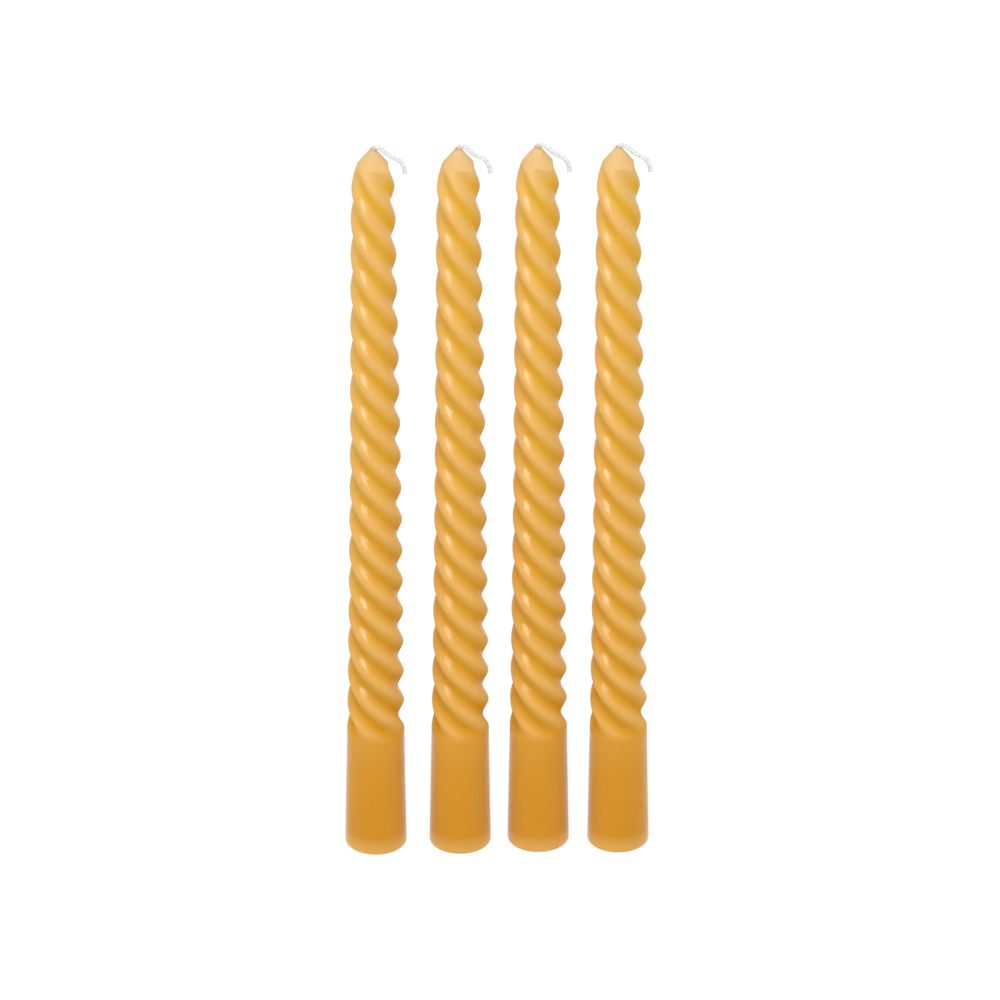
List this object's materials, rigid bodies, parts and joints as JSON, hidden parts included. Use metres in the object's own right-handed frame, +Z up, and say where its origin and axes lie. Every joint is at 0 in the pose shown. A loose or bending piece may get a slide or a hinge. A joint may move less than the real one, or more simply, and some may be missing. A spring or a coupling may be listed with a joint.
{
  "type": "taper candle set",
  "caption": "Spiral taper candles in a loose row, each with twisted flutes over a plain round foot, a cone tip and a drooping white cotton wick.",
  "frame": {"origin": "on the floor, under the middle of the whole row's box, wicks included", "axes": "+Z up along the candles, +X along the row towards the side that the wicks droop to, -Y towards the viewer of the picture"},
  "size_m": [0.1028, 0.0222, 0.2621],
  "materials": {
    "wax": "satin",
    "cotton_wick": "matte"
  },
  "bodies": {
    "candle_1": {"wax_body_1": "wax", "wick_1": "cotton_wick"},
    "candle_2": {"wax_body_2": "wax", "wick_2": "cotton_wick"},
    "candle_3": {"wax_body_3": "wax", "wick_3": "cotton_wick"},
    "candle_4": {"wax_body_4": "wax", "wick_4": "cotton_wick"}
  },
  "joints": [
    {"name": "candle_2_lift", "type": "slide", "parent": "candle_1", "child": "candle_2", "axis": [0, 0, 1], "range_m": [0, 0.3]},
    {"name": "candle_3_lift", "type": "slide", "parent": "candle_1", "child": "candle_3", "axis": [0, 0, 1], "range_m": [0, 0.3]},
    {"name": "candle_4_lift", "type": "slide", "parent": "candle_1", "child": "candle_4", "axis": [0, 0, 1], "range_m": [0, 0.3]}
  ]
}
